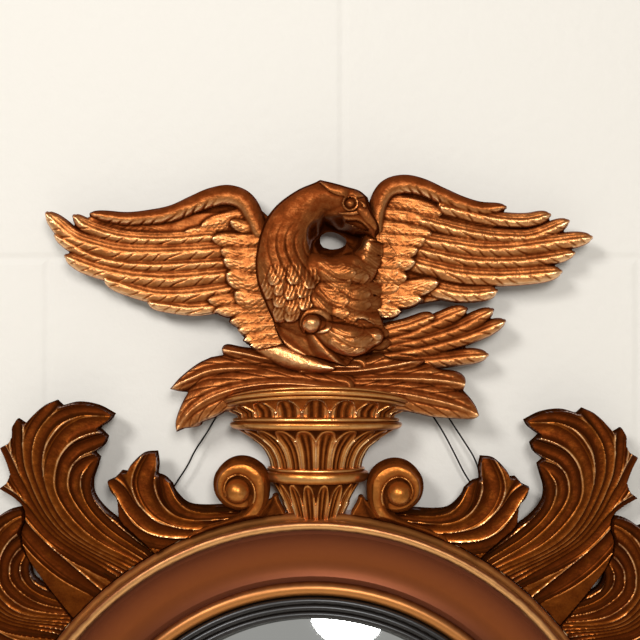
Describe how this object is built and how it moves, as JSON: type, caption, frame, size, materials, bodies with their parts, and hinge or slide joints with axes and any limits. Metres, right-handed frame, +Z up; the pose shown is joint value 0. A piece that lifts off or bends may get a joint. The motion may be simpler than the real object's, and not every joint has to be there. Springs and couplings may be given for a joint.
{
  "type": "convex bullseye mirror",
  "caption": "Round convex wall mirror in a turned, gilded ring with a carved crest of a spread eagle on a leaf bed and urn, flanked by scrolls and acanthus leaves.",
  "frame": {"origin": "centre of the ring's flat rear face, on the wall plane", "axes": "+X to the viewer's right, +Y into the wall, +Z up; the front faces -Y"},
  "size_m": [0.4916, 0.063, 0.7339],
  "materials": {
    "gilt_wood": "antique copper-gold gilding over red-brown, dark glaze in the hollows",
    "ebonised_wood": "ebonised, satin",
    "mirror": "silvered glass",
    "felt": "felt strip",
    "bare_wood": "bare softwood",
    "dowel_wood": "bare beech",
    "hardboard": "pressed hardboard",
    "brass": "plain brass",
    "steel": "zinc-plated steel",
    "dark_wire": "dark annealed steel wire"
  },
  "bodies": {
    "frame": {"urn": "gilt_wood", "leaf_plinth": "gilt_wood", "eagle_body": "gilt_wood", "left_wing": "gilt_wood", "right_wing": "gilt_wood", "eagle_tail": "gilt_wood", "left_volute": "gilt_wood", "right_volute": "gilt_wood", "left_inner_leaf": "gilt_wood", "right_inner_leaf": "gilt_wood", "left_outer_leaf": "gilt_wood", "right_outer_leaf": "gilt_wood", "left_side_leaf": "gilt_wood", "right_side_leaf": "gilt_wood", "left_apron_leaf": "gilt_wood", "right_apron_leaf": "gilt_wood", "apron_palmette": "gilt_wood", "frame_ring": "gilt_wood", "reeded_slip": "ebonised_wood", "mirror_glass": "mirror", "glass_cushion": "felt", "glass_blocks": "bare_wood", "backboard": "hardboard", "turn_button_screws": "steel", "crest_batten": "bare_wood", "batten_screws": "steel", "root_dowels": "dowel_wood", "leaf_dowels": "dowel_wood", "left_screw_eye": "brass", "right_screw_eye": "brass", "hanging_wire": "dark_wire"},
    "turn_button_1": {"turn_button_1": "brass"},
    "turn_button_2": {"turn_button_2": "brass"},
    "turn_button_3": {"turn_button_3": "brass"},
    "turn_button_4": {"turn_button_4": "brass"}
  },
  "joints": [
    {"name": "turn_button_1_swing", "type": "hinge", "parent": "frame", "child": "turn_button_1", "pos_m": [0.13117, -0.003, 0.13117], "axis": [0, 1, 0], "range_deg": [-90, 90]},
    {"name": "turn_button_2_swing", "type": "hinge", "parent": "frame", "child": "turn_button_2", "pos_m": [0.13117, -0.003, -0.13117], "axis": [0, 1, 0], "range_deg": [-90, 90]},
    {"name": "turn_button_3_swing", "type": "hinge", "parent": "frame", "child": "turn_button_3", "pos_m": [-0.13117, -0.003, -0.13117], "axis": [0, 1, 0], "range_deg": [-90, 90]},
    {"name": "turn_button_4_swing", "type": "hinge", "parent": "frame", "child": "turn_button_4", "pos_m": [-0.13117, -0.003, 0.13117], "axis": [0, 1, 0], "range_deg": [-90, 90]}
  ]
}
